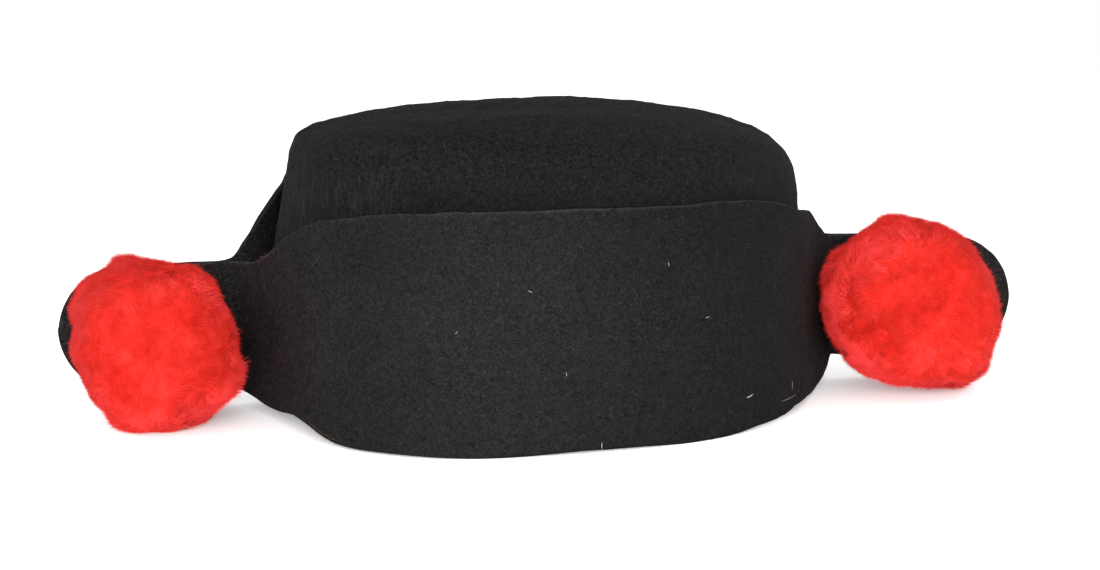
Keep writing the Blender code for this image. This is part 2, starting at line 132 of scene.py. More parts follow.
BACK_EDGES = (
    (-0.050, -0.05, 1.00),
    (0.000, 0.00, 1.00),
    (0.018, 0.25, 0.95),
    (0.044, 0.61, 0.88),
    (0.069, 0.88, 0.80),
    (0.092, 1.04, 0.70),
    (0.120, 1.19, 0.60),
    (0.180, 1.14, 0.40),
    (0.280, 1.03, 0.12),
    (0.350, 1.00, 0.00),
    (0.650, 1.00, 0.00),
    (0.740, 0.92, 0.15),
    (0.860, 0.60, 0.60),
    (0.960, 0.12, 0.95),
    (1.000, 0.07, 1.50),
    (1.070, 0.03, 1.15),
    (1.140, -0.01, 1.00),
)

# Flecks on the felt, from one pixel of the photograph to another, with their width and bend
FLECKS = table(
    "shade across down to_across to_down width bend",
    ("white", 746, 397.5, 752.5, 394, 0.00042, 0.0002),
    ("white", 791.5, 381, 791.5, 389.5, 0.00030, -0.0002),
    ("white", 780, 401.5, 796, 394, 0.00011, 0.0003),
    ("white", 601.7, 442, 601.9, 448.5, 0.00022, 0.0001),
    ("white", 455, 334, 458, 331, 0.00014, 0.0001),
    ("white", 528, 291, 532, 292.5, 0.00014, -0.0001),
    ("white", 668, 262, 669, 266, 0.00014, 0.0001),
    ("white", 705, 318, 709, 316, 0.00013, 0.0001),
    ("white", 566, 372, 567, 376, 0.00013, 0.0001),
    # The pink flecks along the fold are lint, and also a painted reflection of the pompom's red
    ("pink", 252.5, 261.5, 258, 261, 0.00040, 0.0001),
    ("pink", 256.5, 261, 263.5, 259.4, 0.00060, 0.0002),
    ("pink", 258, 258, 264, 256.5, 0.00060, 0.0002),
    ("pink", 262, 259.8, 268.5, 255.8, 0.00060, -0.0002),
    ("pink", 267, 256.8, 272, 252, 0.00050, 0.0002),
    ("pink", 271.5, 252.5, 275.5, 247.5, 0.00036, 0.0001),
    ("pink", 277, 245, 279, 234, 0.00024, 0.0002),
    ("pink", 281, 236, 282, 224, 0.00022, -0.0002),
    ("pink", 314, 265, 318.5, 258, 0.00030, 0.0002),
    ("pink", 311, 268, 315, 262, 0.00024, 0.0001),
    ("tan", 311, 423.5, 318, 429, 0.00040, 0.0001),
    ("tan", 317, 428.5, 324.5, 433.8, 0.00050, 0.0001),
    ("tan", 323.5, 433.3, 331, 437.3, 0.00050, 0.0001),
    ("tan", 330, 436.7, 337.5, 440.2, 0.00040, 0.0001),
    ("tan", 303.5, 404, 304, 412, 0.00030, 0.0001),
)
FLECK_COLOURS = {
    "white": (0.34, 0.34, 0.33),
    "pink": (0.058, 0.028, 0.029),
    "tan": (0.036, 0.025, 0.018),
}

# Where the photograph shows lint on the felt: the middles of patches of it in pixels, their half
# sizes, their tilt in degrees, and the share of the tries that stay
PINK_PATCHES = table(
    "across down wide tall turn share",
    # The first patch, along the fold, is lint and also a painted reflection of the pompom's red
    (263, 258.5, 12, 2.5, 28, 0.80),
    (278, 240, 4, 12, 0, 0.25),
    (300, 205, 26, 14, 0, 0.012),
    (290, 300, 36, 70, 0, 0.012),
    (316, 262, 5, 7, 0, 0.10),
    (813, 300, 10, 70, 0, 0.02),
    (822, 366, 6, 9, 0, 0.25),
    (824, 245, 8, 14, 0, 0.05),
)
TAN_PATCHES = table(
    "across down wide tall turn share",
    (321, 431.5, 17, 2.2, -36, 1.00),
    (346, 443.5, 12, 1.6, -14, 0.30),
    (304, 408, 2.5, 6, 0, 0.20),
)
LINT_TRIES = 240000
FUZZ_COLOURS = {
    "lint_dark": (0.008, 0.008, 0.0082),
    "lint": (0.013, 0.013, 0.0132),
    "lint_light": (0.021, 0.021, 0.022),
}
PINK_COLOURS = {"lint_red": (0.042, 0.016, 0.018), "lint_red_pale": (0.074, 0.036, 0.038)}
TAN_COLOURS = {"lint_brown": (0.032, 0.022, 0.016), "lint_tan_pale": (0.058, 0.042, 0.030)}

# Loose fibres: their length and width, and how flat they lie
Fibre = namedtuple("Fibre", "length width lean")
FUZZ = Fibre(0.0011, 0.00008, 0.70)
LINT = Fibre(0.0009, 0.00011, 0.75)
FUZZ_COUNTS = (26000, 18000, 12000)

# How finely the felt is meshed
HEADING_STEP = 0.5
CROWN_HEADINGS = 240
RINGS_PER_SECTION = 6
FLARE_STATIONS = 30
EAR_STATIONS = 16
EAR_END_STATIONS = 20
EAR_TIP_TURN = 4.0
CONTACT_STEP = 1.0
PANEL_ROWS = 40
LEAST_HEIGHT = 0.0002
HEM_ROUNDING = 0.0005
FOOT_ROUNDING = 0.0006

# A panel's cut upper edge, from a face inwards: how far in, how far up, and how much painted
# highlight it takes
CUT_EDGE = table(
    "inset rise shade",
    (0.0, 0.0007, 0.0),
    (0.00004, 0.0012, 0.1),
    (0.00020, 0.0016, 0.8),
    (0.00060, 0.0018, 1.0),
)

# Uneven fields over the felt: the size of their bumps, and how far they move it
Wave = namedtuple("Wave", "size height")
CROWN_DENTS = Wave(0.040, 0.00050)
CROWN_WAVE = Wave(0.011, 0.00022)
CROWN_GRAIN = Wave(0.0045, 0.00020)
PANEL_WAVE = Wave(0.050, 0.00040)
PANEL_RELIEF = Wave(0.012, 0.00010)
PANEL_GRAIN = Wave(0.0035, 0.00007)
EDGE_WAVE = Wave(0.016, 0.00020)
EDGE_GRAIN = Wave(0.0045, 0.00016)
RIPPLE_WAVES = 14
RIPPLE_PEAK = 1.4

# The felt's colours, with painted highlights for the front panel's middle and its cut edges, how
# strongly its grain shows, and where plush has shed on the crown
CROWN_COLOUR = (0.0074, 0.0075, 0.0075, 1.0)
PANEL_COLOUR = (0.0076, 0.0075, 0.0076, 1.0)
PANEL_HIGHLIGHT_COLOUR = (0.0105, 0.0106, 0.0115, 1.0)
CUT_HIGHLIGHT_COLOUR = (0.0250, 0.0254, 0.0268, 1.0)
SHED_COLOUR = (0.31, 0.028, 0.040, 1.0)
FELT_CONTRAST = 0.85
LEFT_FRAY = (-0.085, -0.040, 0.060)

# The pompoms: as in the CAD, with a finer outline at each 24th of a turn, where their fur parts
# (across and up, as shares of the half size), how it turns about that place, how ruffled it is
# beside the hat, and where wisps of it stand out at the rim (degrees round from the right, half
# of how wide they are, and how far they stand out)
POMPOM_DEPTH_SHARE = 0.98
PRESSED_SHARE = 0.90
Pompom = namedtuple("Pompom", "name side size inwards upwards outline parting swirl ruffle wisps")
POMPOMS = (
    Pompom("pompom_left", -1, 0.0590, 0.270, -0.055,
           (0.930, 0.900, 0.885, 0.967, 0.993, 0.970, 0.968, 1.058, 1.010, 1.048, 1.004, 0.906,
            0.940, 0.876, 0.884, 0.902, 1.000, 1.047, 1.030, 1.030, 0.985, 0.948, 1.000, 0.958),
           (0.02, 0.30), 0.30, 0.0,
           table("around reach rise", (101, 7, 0.0010), (111, 6, 0.0016), (132, 6, 0.0014),
                 (147, 5, 0.0014), (338, 7, 0.0014), (324, 6, 0.0018), (295, 8, 0.0010),
                 (262, 7, 0.0008))),
    Pompom("pompom_right", 1, 0.0622, 0.550, 0.038,
           (0.972, 0.933, 0.909, 0.910, 0.924, 0.986, 0.985, 1.015, 1.018, 1.019, 1.036, 1.024,
            0.985, 0.970, 0.966, 0.957, 0.933, 0.919, 0.900, 0.983, 1.094, 1.063, 1.010, 0.994),
           (-0.30, 0.05), -0.25, 1.0,
           table("around reach rise", (100, 7, 0.0012), (146, 8, 0.0014), (328, 7, 0.0016),
                 (314, 6, 0.0014), (302, 6, 0.0012), (348, 6, 0.0010), (62, 8, 0.0010))),
)

# The fur's two coats: how many strands each has, their length and width, how far they are drawn
# into tufts, and how far they stand proud
COATS = table(
    "name strands length width pull rise",
    ("under", 54000, 0.0062, 0.00019, 0.20, -0.0004),
    ("over", 50000, 0.0070, 0.000145, 0.42, 0.0002),
)
FUR_DEPTH = 0.0042
CORE_SHARE = 0.36
CORE_RINGS = 64
CORE_SEGMENTS = 128
FLOOR_CLEARANCE = 0.0001

# Tufts of fur: how many there are, how unevenly they stand, and the shares of them that stand
# proud or lie sunk
TUFTS = 420
TUFT_REACH = 0.11
TUFT_RISE = 0.00030
RUFFLED_RISE = 0.00024
TUFT_TONE = 0.12
RUFFLED_TONE = 0.75
PROUD_SHARE = 0.08
PROUD_RISE = 0.0007
SUNK_SHARE = 0.06
SUNK_DEPTH = 0.0005
COMB_SEED = 40

# Single strands: how unevenly they stand and lie, and the share of them that stray
STRAND_RISE = 0.00045
STRAND_TURN = 0.28
STRAY_SHARE = 0.03
STRAY_RISE = 0.0008
STRAY_TURN = 0.9

# The fur's shades, from deep to pale, and then the rim's, duller with painted shade and pinker
# with painted sheen
INNER_SHADES = 5
FUR_SHADES = (
    ("deep", (0.51, 0.012, 0.007)),
    ("red", (0.545, 0.0150, 0.009)),
    ("bright", (0.585, 0.020, 0.013)),
    ("warm", (0.70, 0.030, 0.022)),
    ("pale", (0.79, 0.046, 0.043)),
    ("rim_deep", (0.44, 0.0165, 0.012)),
    ("rim", (0.44, 0.021, 0.018)),
    ("rim_pale", (0.47, 0.028, 0.027)),
)
SHEEN_COLOUR = (1.0, 0.30, 0.28, 1.0)
CORE_COLOURS = ((0.61, 0.017, 0.011, 1.0), (0.70, 0.027, 0.018, 1.0))

# The lights: where each stands, where it points, how wide it is, and its power
LIGHTS = table(
    "name place aim side power",
    ("flash", (-0.11, -0.78, 0.21), (0.0, 0.0, 0.04), 0.20, 1.75),
    ("fill_left", (-0.56, -0.60, 0.20), (0.10, 0.0, 0.04), 0.30, 0.35),
    ("fill_right", (0.44, -0.66, 0.20), (-0.10, 0.0, 0.04), 0.30, 0.32),
    ("softbox", (-0.19, -1.34, 0.34), (0.0, 0.0, 0.04), 1.0, 18.2),
    ("side_left", (-1.05, 0.20, 0.50), (-0.10, 0.0, 0.05), 0.60, 3.0),
    ("side_right", (1.05, 0.20, 0.50), (0.10, 0.0, 0.05), 0.60, 3.0),
)
SUN_POWER = 0.25
SUN_WIDTH = radians(70.0)
SUN_TURN = (radians(35.0), 0.0, radians(-15.0))
FLOOR_REACH = 6.0
FLOOR_COLOUR = (0.93, 0.93, 0.93, 1.0)
FLOOR_GLOW = 0.30
WHITE = (1.0, 1.0, 1.0, 1.0)

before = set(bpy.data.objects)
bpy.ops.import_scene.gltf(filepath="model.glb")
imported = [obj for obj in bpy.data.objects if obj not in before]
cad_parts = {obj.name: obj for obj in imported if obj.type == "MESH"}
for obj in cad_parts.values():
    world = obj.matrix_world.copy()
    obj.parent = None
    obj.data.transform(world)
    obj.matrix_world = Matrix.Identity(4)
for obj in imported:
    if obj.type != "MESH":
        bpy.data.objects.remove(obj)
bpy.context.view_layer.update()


def fade(value, start, end):
    """Return a smooth rise from 0 at a start to 1 at an end, which may lie below it."""
    share = np.clip((value - start) / (end - start), 0.0, 1.0)
    return share * share * (3.0 - 2.0 * share)


def unit(vectors):
    """Return vectors at unit length."""
    length = np.linalg.norm(vectors, axis=-1, keepdims=True)
    return vectors / np.maximum(length, 1e-12)


def square_to(vectors, ways):
    """Return the parts of vectors that are square to unit ways."""
    return vectors - ways * np.sum(vectors * ways, axis=1, keepdims=True)


def ripple(points, size, seed):
    """Return a smooth uneven field, about 1 at its strongest, whose bumps have a size."""
    source = np.random.default_rng(seed)
    total = np.zeros(len(points))
    for _ in range(RIPPLE_WAVES):
        way = unit(source.normal(size=(1, 3)))[0]
        rate = 2.0 * pi / (size * source.uniform(0.7, 1.7))
        total += np.sin(points @ way * rate + source.uniform(0.0, 2.0 * pi))
    return total / sqrt(RIPPLE_WAVES) / RIPPLE_PEAK


def relief(points, wave, seed):
    """Return how far an uneven field moves points."""
    return ripple(points, wave.size, seed) * wave.height


# ---------- shapes shared with the CAD


def crown_plan(heading):
    """Return the crown's plan at a heading."""
    corner = min(CORNERS, key=lambda corner: abs(heading % 360.0 - corner.heading))
    turn = radians(heading)
    power = 2.0 + (corner.squareness - 2.0) * sin(2.0 * turn) ** 2
    across = abs(cos(turn)) / (CROWN_WIDTH / 2.0)
    along = abs(sin(turn)) / (CROWN_DEPTH / 2.0)
    reach = (across ** power + along ** power) ** (-1.0 / power)
    return np.array((CROWN_ASIDE + reach * cos(turn), reach * sin(turn)))


def crown_normal(heading):
    """Return the crown's outward direction at a heading."""
    along = crown_plan(heading + HEADING_STEP) - crown_plan(heading - HEADING_STEP)
    return unit(np.array((along[1], -along[0])))


def slump(heading):
    """Return how the crown's foot has slumped at a heading."""
    return crown_normal(heading) * SLUMP_OUT * fade(abs(heading - SLUMP_HEADING), SLUMP_REACH, 0.0)


def foot_rise(heading):
    """Return how far the crown's foot lies clear of the floor at a heading."""
    return FOOT_RISE * fade(abs(heading - FOOT_HEADING), FOOT_REACH, 0.0)


def contact_place(heading, bends):
    """Return the middle of a panel's felt where it lies against the crown."""
    off = sum(bend.stand_off * CROWN_WIDTH * fade(abs(heading - bend.heading), bend.reach, 0.0)
              for bend in bends)
    return crown_plan(heading) + crown_normal(heading) * (GAP + PANEL_FELT / 2.0 + off)


def side_places(side, facing, flare, bends):
    """Return a panel's places from its ear's end to the crown, and half the ear's height."""
    aside = facing * (GAP + PANEL_FELT) / 2.0
    root = np.array((side * (CROWN_WIDTH / 2.0 + EAR_REACH * flare.root), aside))
    radius = EAR_HEIGHT / 2.0
    end = side * (CROWN_WIDTH / 2.0 + EAR_REACH)
    places = []
    for index in range(EAR_END_STATIONS):
        turn = radians(EAR_TIP_TURN + (90.0 - EAR_TIP_TURN) * index / EAR_END_STATIONS)
        place = np.array((end - side * radius * (1.0 - cos(turn)), aside))
        places.append((place, radius * sin(turn)))
    for index in range(EAR_STATIONS):
        start = end - side * radius
        share = index / EAR_STATIONS
        places.append((np.array((start + (root[0] - start) * share, aside)), radius))
    start = contact_place(flare.leaves, bends)
    way = unit(start - contact_place(flare.leaves + side * facing * HEADING_STEP, bends))
    span = np.linalg.norm(root - start)
    start_pull = start + way * span * flare.crown_pull
    end_pull = root - np.array((side * span * flare.ear_pull, 0.0))
    for index in range(FLARE_STATIONS):
        share = index / FLARE_STATIONS
        rest = 1.0 - share
        place = (root * rest ** 3 + end_pull * (3.0 * rest * rest * share)
                 + start_pull * (3.0 * rest * share * share) + start * share ** 3)
        places.append((place, radius))
    return places


def read_rows(rows, share):
    """Return a table's later columns at a share of its first, on a curve through the rows."""
    rows = np.array(rows)
    index = min(max(np.searchsorted(rows[:, 0], share) - 1, 0), len(rows) - 2)
    low, high = rows[index], rows[index + 1]
    before, after = rows[max(index - 1, 0)], rows[min(index + 2, len(rows) - 1)]
    width = high[0] - low[0]
    part = min(max((share - low[0]) / width, 0.0), 1.0)
    low_slope = (high - before) / (high[0] - before[0])
    high_slope = (after - low) / (after[0] - low[0])
    values = ((2 * part ** 3 - 3 * part ** 2 + 1) * low
              + (part ** 3 - 2 * part ** 2 + part) * low_slope * width
              + (3 * part ** 2 - 2 * part ** 3) * high
              + (part ** 3 - part ** 2) * high_slope * width)
    return values[1:]


Plan = namedtuple("Plan", "places normals bottoms tops shares")


def panel_plan(facing, left, right, bends, edges):
    """Return a panel's stations from the left ear's end to the right one's."""
    steps = int(round(abs(right.leaves - left.leaves) / CONTACT_STEP))
    headings = np.linspace(left.leaves, right.leaves, steps + 1)
    contact = [(contact_place(heading, bends), EAR_HEIGHT / 2.0) for heading in headings]
    left_places = side_places(-1, facing, left, bends)
    right_places = side_places(1, facing, right, bends)
    both = left_places + contact + right_places[::-1]
    places = np.array([place for place, _ in both])
    halves = np.array([half for _, half in both])
    lengths = np.concatenate(([0.0], np.cumsum(np.linalg.norm(np.diff(places, axis=0), axis=1))))
    ear = EAR_STATIONS + EAR_END_STATIONS
    shares = (lengths - lengths[ear]) / (lengths[-1 - ear] - lengths[ear])
    rows = np.array([read_rows(edges, share) for share in shares])
    middle = EAR_LIFT + EAR_HEIGHT / 2.0
    tops = middle + halves + (PANEL_HEIGHT - middle - halves) * rows[:, 0]
    bottoms = (middle - halves) * np.maximum(rows[:, 1], 0.0)
    along = np.gradient(places, axis=0)
    normals = unit(np.stack((along[:, 1], -along[:, 0]), axis=1)) * -facing
    return Plan(places, normals, bottoms, tops, shares)


# ---------- meshes


def mesh_object(name, points, faces, materials, slots=None):
    """Make an object from arrays of points and of faces with one number of corners."""
    mesh = bpy.data.meshes.new(name)
    faces = [np.asarray(part, dtype=np.int32) for part in faces]
    counts = np.concatenate([np.full(len(part), part.shape[1], dtype=np.int32) for part in faces])
    corners = np.concatenate([part.ravel() for part in faces])
    mesh.vertices.add(len(points))
    mesh.vertices.foreach_set("co", np.asarray(points, dtype=np.float32).ravel())
    mesh.loops.add(len(corners))
    mesh.loops.foreach_set("vertex_index", corners)
    mesh.polygons.add(len(counts))
    starts = np.concatenate(([0], np.cumsum(counts)[:-1])).astype(np.int32)
    mesh.polygons.foreach_set("loop_start", starts)
    mesh.polygons.foreach_set("loop_total", counts)
    for material in materials:
        mesh.materials.append(material)
    if slots is not None:
        mesh.polygons.foreach_set("material_index", np.asarray(slots, dtype=np.int32))
    mesh.update(calc_edges=True)
    mesh.validate()
    mesh.shade_smooth()
    item = bpy.data.objects.new(name, mesh)
    bpy.context.collection.objects.link(item)
    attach(item, "root")
    return item


def ribbon_object(name, path, side, root_share, materials, slots, normals):
    """Make an object of ribbons, each with a material and with one normal that it is shaded by.

    The path is the ribbons' roots, middles and tips, and the side reaches from it to an edge.
    """
    root, middle, tip = path
    foot = side * root_share
    strands = np.stack((root - foot, root + foot, middle - side, middle + side, tip), axis=1)
    strands[:, :, 2] = np.maximum(strands[:, :, 2], FLOOR_CLEARANCE)
    base = np.arange(len(strands))[:, None] * 5
    faces = (base + np.array((0, 1, 3, 2)), base + np.array((2, 3, 4)))
    item = mesh_object(name, strands.reshape(-1, 3), faces, materials, np.tile(slots, 2))
    item.data.normals_split_custom_set_from_vertices(np.repeat(normals, 5, axis=0).tolist())
    return item


def tube_faces(rings, count):
    """Return the faces of closed rings, and the fans that close the first and the last.

    The middle of the first ring is the point after the rings' own, and that of the last comes next.
    """
    row, column = np.meshgrid(np.arange(rings - 1), np.arange(count), indexing="ij")
    low, high = row * count, (row + 1) * count
    after = (column + 1) % count
    faces = np.stack((low + column, low + after, high + after, high + column), axis=-1)
    first = np.arange(count)
    after = (first + 1) % count
    end = (rings - 1) * count
    middle = np.full_like(first, rings * count)
    return (faces.reshape(-1, 4), np.stack((after, first, middle), axis=1),
            np.stack((end + first, end + after, middle + 1), axis=1))


def with_middles(rings):
    """Return rings as points, and then the middles of the first and the last."""
    return np.concatenate((rings.reshape(-1, 3), rings[[0, -1]].mean(axis=1)))


def paint(item, *shares):
    """Keep four shares at each vertex of a felt piece, for its material."""
    layer = item.data.color_attributes.new("tint", "FLOAT_COLOR", "POINT")
    layer.data.foreach_set("color", np.stack(shares, axis=1).astype(np.float32).ravel())


# ---------- felt


def crown_rings(headings):
    """Return the crown's outside as rings from its foot up, and its foot's rises."""
    rims = np.array([crown_plan(heading) for heading in headings])
    slumps = np.array([slump(heading) for heading in headings])
    foot_rises = np.array([foot_rise(heading) for heading in headings])
    middle = np.array((CROWN_ASIDE, 0.0))
    lean = (RIGHT_SHOULDER - LEFT_SHOULDER) / 2.0 * np.cos(np.radians(headings))
    shoulder = (RIGHT_SHOULDER + LEFT_SHOULDER) / 2.0 + lean
    count = (len(CROWN_SECTIONS) - 1) * RINGS_PER_SECTION + 1
    rings = np.empty((count, len(headings), 3))
    for index in range(count):
        spread, wall, dome, slumped = read_rows(CROWN_SECTIONS, index / RINGS_PER_SECTION)
        rings[index, :, :2] = middle + (rims - middle) * spread + slumps * slumped
        rings[index, :, 2] = (shoulder * wall + (CROWN_HEIGHT - shoulder) * dome
                              + foot_rises * max(0.0, 1.0 - wall / FOOT_SHARE))
    rings[:, :, 2] = np.maximum(rings[:, :, 2], 0.0)
    return rings, foot_rises


def make_crown(material):
    """Make the crown as one closed wall of felt."""
    headings = np.arange(CROWN_HEADINGS) * 360.0 / CROWN_HEADINGS
    outer, foot_rises = crown_rings(headings)
    around = np.roll(outer, -1, axis=1) - np.roll(outer, 1, axis=1)
    normals = unit(np.cross(around, np.gradient(outer, axis=0)))
    flat = outer.reshape(-1, 3)
    dents = (relief(flat, CROWN_DENTS, 3) * fade(flat[:, 2], 0.070, 0.090)
             + relief(flat, CROWN_WAVE, 4) * fade(flat[:, 2], 0.0, 0.060)
             + relief(flat, CROWN_GRAIN, 5))
    outer = outer + normals * dents.reshape(*outer.shape[:2], 1)
    inner = outer - normals * CROWN_FELT
    inner[0, :, 2] = outer[0, :, 2]
    foot = np.array([outer[0] + (inner[0] - outer[0]) * share for share in (0.75, 0.25)])
    foot[:, :, 2] = foot_rises
    outer[0, :, 2] = inner[0, :, 2] = foot_rises + FOOT_ROUNDING
    rings = np.concatenate((inner[::-1], foot, outer))
    rings[:, :, 1] += SHIFT
    points = with_middles(rings)
    faces, inside, outside = tube_faces(len(rings), CROWN_HEADINGS)
    item = mesh_object("crown_felt", points, (faces, outside, inside), [material])
    red = 0.22 * fade(np.linalg.norm(points - LEFT_FRAY, axis=1), 0.040, 0.0)
    # Painted light: the crown's felt shows darker on the left and lighter towards the right
    painted_light_rightwards = fade(points[:, 0], 0.0, 0.075)
    streaks = fade(points[:, 0], -0.050, -0.062) * fade(points[:, 2], 0.0870, 0.0810)
    paint(item, red, painted_light_rightwards, streaks * (points[:, 1] < 0.0), np.zeros(len(points)))
    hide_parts("crown")
    return item


def panel_section():
    """Return the points round a panel's section: its outer face, cut edge, other face and hem.

    Each is a row: how far it is off the felt's middle, its share of the height, how far it rises
    above that, and how much of the cut edge's painted highlight it takes.
    """
    half = PANEL_FELT / 2.0
    heights = np.linspace(0.0, 1.0, PANEL_ROWS)
    rows = [(half, height, 0.0, 0.0) for height in heights]
    rows += [(half - cut.inset, 1.0, cut.rise, cut.shade) for cut in CUT_EDGE]
    rows += [(cut.inset - half, 1.0, cut.rise, cut.shade) for cut in CUT_EDGE[::-1]]
    rows += [(-half, height, 0.0, 0.0) for height in heights[::-1]]
    rows += [(way * (half - HEM_ROUNDING), 0.0, -HEM_ROUNDING, 0.0) for way in (-1.0, 1.0)]
    return np.array(rows)


def panel_rings(plan, section, seed):
    """Return a panel's rings, one at each station, with the felt's unevenness."""
    stations, corners = len(plan.places), len(section)
    low = plan.bottoms + HEM_ROUNDING
    high = np.maximum(plan.tops - CUT_EDGE[-1].rise, low + LEAST_HEIGHT)
    levels = (low[:, None] + (high - low)[:, None] * section[:, 1] + section[:, 2]).ravel()
    offs = np.tile(section[:, 0], stations)
    places = np.repeat(plan.places, corners, axis=0)
    normals = np.repeat(plan.normals, corners, axis=0)
    inside = np.repeat(fade(plan.shares, -0.02, 0.04) * fade(plan.shares, 1.02, 0.96), corners)
    middles = np.column_stack((places, levels))
    points = np.column_stack((places + normals * offs[:, None], levels))
    wave = relief(middles, PANEL_WAVE, seed) * inside
    rough = relief(points, PANEL_GRAIN, seed + 1) + relief(points, PANEL_RELIEF, seed + 2) * inside
    ragged = relief(middles, EDGE_GRAIN, seed + 3) + relief(middles, EDGE_WAVE, seed + 4)
    points[:, :2] += normals * (wave + rough * np.sign(offs))[:, None]
    points[:, 1] += SHIFT
    points[:, 2] += ragged * np.tile(fade(section[:, 1], 0.9, 1.0), stations)
    points[:, 2] = np.maximum(points[:, 2], 0.0)
    return points.reshape(stations, corners, 3)


def make_panel(name, node, plan, material, seed, lint_and_highlight):
    """Make a panel as one closed sheet of felt."""
    section = panel_section()
    points = with_middles(panel_rings(plan, section, seed))
    faces = tube_faces(len(plan.places), len(section))
    if node == "front_panel":
        faces = [part[:, ::-1] for part in faces]
    item = mesh_object(name, points, faces, [material])
    across = points[:, 0]
    away = np.min([np.linalg.norm(points - pompom_middle(pompom), axis=1) for pompom in POMPOMS],
                  axis=0)
    red = fade(away, 0.088, 0.0) * (0.35 + 0.65 * lint_and_highlight)
    # Painted highlight along the cut top edge, strongest across the front's middle
    cut = np.append(np.tile(section[:, 3], len(plan.places)), (0.0, 0.0))
    cut *= lint_and_highlight * (0.38 + 0.62 * np.exp(-((across + 0.010) / 0.050) ** 2)
                   + ripple(points, 0.010, seed + 5) * 0.12)
    # Painted highlight across the front panel's middle, where it faces the lights
    middle = np.exp(-((across + 0.030) / 0.045) ** 2) * lint_and_highlight
    # Coarser grain, and painted light lifting the shade at the panel's ends and beside the pompoms
    coarse_and_painted_light = np.maximum(fade(np.abs(across + 0.005), 0.060, 0.098), 1.6 * fade(away, 0.060, 0.0))
    paint(item, red, np.clip(cut, 0.0, 1.0), middle, coarse_and_painted_light)
    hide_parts(node)
    return item


# ---------- plush


def pompom_middle(pompom):
    """Return the middle of a pompom."""
    radius = EAR_HEIGHT / 2.0
    across = pompom.side * (CROWN_WIDTH / 2.0 + EAR_REACH - radius - pompom.inwards * EAR_HEIGHT)
    front = (GAP + PANEL_FELT) / 2.0 + PANEL_FELT / 2.0 + GAP
    depth = pompom.size / 2.0 * POMPOM_DEPTH_SHARE * PRESSED_SHARE
    height = EAR_LIFT + radius + pompom.upwards * EAR_HEIGHT
    return np.array((across, SHIFT - front - depth, height))


def outline_reach(outline, around):
    """Return an outline's shares at angles, eased between the given ones."""
    shares = np.array(outline)
    place = (around / (2.0 * pi) * len(shares)) % len(shares)
    index = place.astype(int) % len(shares)
    part = fade(place - np.floor(place), 0.0, 1.0)
    return shares[index] + (shares[(index + 1) % len(shares)] - shares[index]) * part


def ball_points(pompom, ways, inwards):
    """Return points some way in from a pompom's outline."""
    edge = np.hypot(ways[:, 0], ways[:, 2])
    outline = outline_reach(pompom.outline, np.arctan2(ways[:, 2], ways[:, 0]))
    reach = pompom.size / 2.0 * (1.0 + (outline - 1.0) * edge) - inwards
    points = ways * reach[:, None]
    points[:, 1] *= POMPOM_DEPTH_SHARE
    return points + pompom_middle(pompom)


def face_depth(points, plan, clearance):
    """Return how far back points may lie, a little in front of the front panel."""
    face = plan.places + plan.normals * (PANEL_FELT / 2.0 + clearance)
    order = np.argsort(face[:, 0])
    return np.interp(points[:, 0], face[order, 0], face[order, 1]) + SHIFT


def keep_clear(points, plan, clearance):
    """Press points clear of the front panel and the floor."""
    points[:, 1] = np.minimum(points[:, 1], face_depth(points, plan, clearance))
    points[:, 2] = np.maximum(points[:, 2], clearance)
    return points


def spread_ways(count, turn):
    """Return directions spread evenly over a ball."""
    index = np.arange(count) + 0.5
    depth = 2.0 * index / count - 1.0
    ring = np.sqrt(1.0 - depth * depth)
    around = pi * (3.0 - sqrt(5.0)) * index + turn
    return np.stack((ring * np.cos(around), depth, ring * np.sin(around)), axis=1)


def comb_ways(pompom, ways):
    """Return which way fur lies, away from the parting, and how flat."""
    seed = COMB_SEED
    from_parting = np.stack((ways[:, 0] - pompom.parting[0], np.zeros(len(ways)),
                             (ways[:, 2] - pompom.parting[1]) * 0.5), axis=1)
    near = fade(np.linalg.norm(from_parting, axis=1, keepdims=True), 0.0, 0.80)
    drift = np.stack([ripple(ways, 0.7, seed + number) for number in (2, 3, 4)], axis=1)
    flat = unit(from_parting) * (0.20 + 0.65 * near) + drift * (1.5 - 0.8 * near)
    flat = square_to(flat, ways)
    lie = 0.45 + 0.55 * fade(np.linalg.norm(flat, axis=1), 0.0, 0.55)
    flat = unit(flat)
    turn = pompom.swirl + ripple(ways, 0.9, seed) * 0.9 + ripple(ways, 0.32, seed + 1) * 0.8
    turn = (turn + ripple(ways, 0.13, seed + 5) * 0.55)[:, None]
    return unit(flat * np.cos(turn) + np.cross(ways, flat) * np.sin(turn)), lie


Tufts = namedtuple("Tufts", "ways comb rise tone size")


def make_tufts(pompom, source):
    """Return a pompom's tufts, and how each lies, stands and is shaded."""
    ways = unit(spread_ways(TUFTS, 1.1) + source.normal(size=(TUFTS, 3)) * 0.055)
    comb = unit(comb_ways(pompom, ways)[0] + source.normal(size=(TUFTS, 3)) * 0.45)
    ruffled = pompom.ruffle * fade(-pompom.side * ways[:, 0], 0.40, 0.80)
    rise = source.normal(size=TUFTS) * (TUFT_RISE + RUFFLED_RISE * ruffled)
    tone = source.normal(size=TUFTS) * (TUFT_TONE + RUFFLED_TONE * ruffled)
    rise += np.where(source.uniform(size=TUFTS) > 1.0 - PROUD_SHARE, PROUD_RISE, 0.0)
    rise -= np.where(source.uniform(size=TUFTS) > 1.0 - SUNK_SHARE, SUNK_DEPTH, 0.0)
    around = np.degrees(np.arctan2(ways[:, 2], ways[:, 0]))
    at_rim = fade(np.hypot(ways[:, 0], ways[:, 2]), 0.75, 0.90)
    for wisp in pompom.wisps:
        off = np.abs((around - wisp.around + 180.0) % 360.0 - 180.0)
        rise += wisp.rise * fade(off / wisp.reach, 1.6, 0.6) * at_rim
    return Tufts(ways, comb, rise, tone, source.uniform(0.75, 1.30, size=TUFTS))


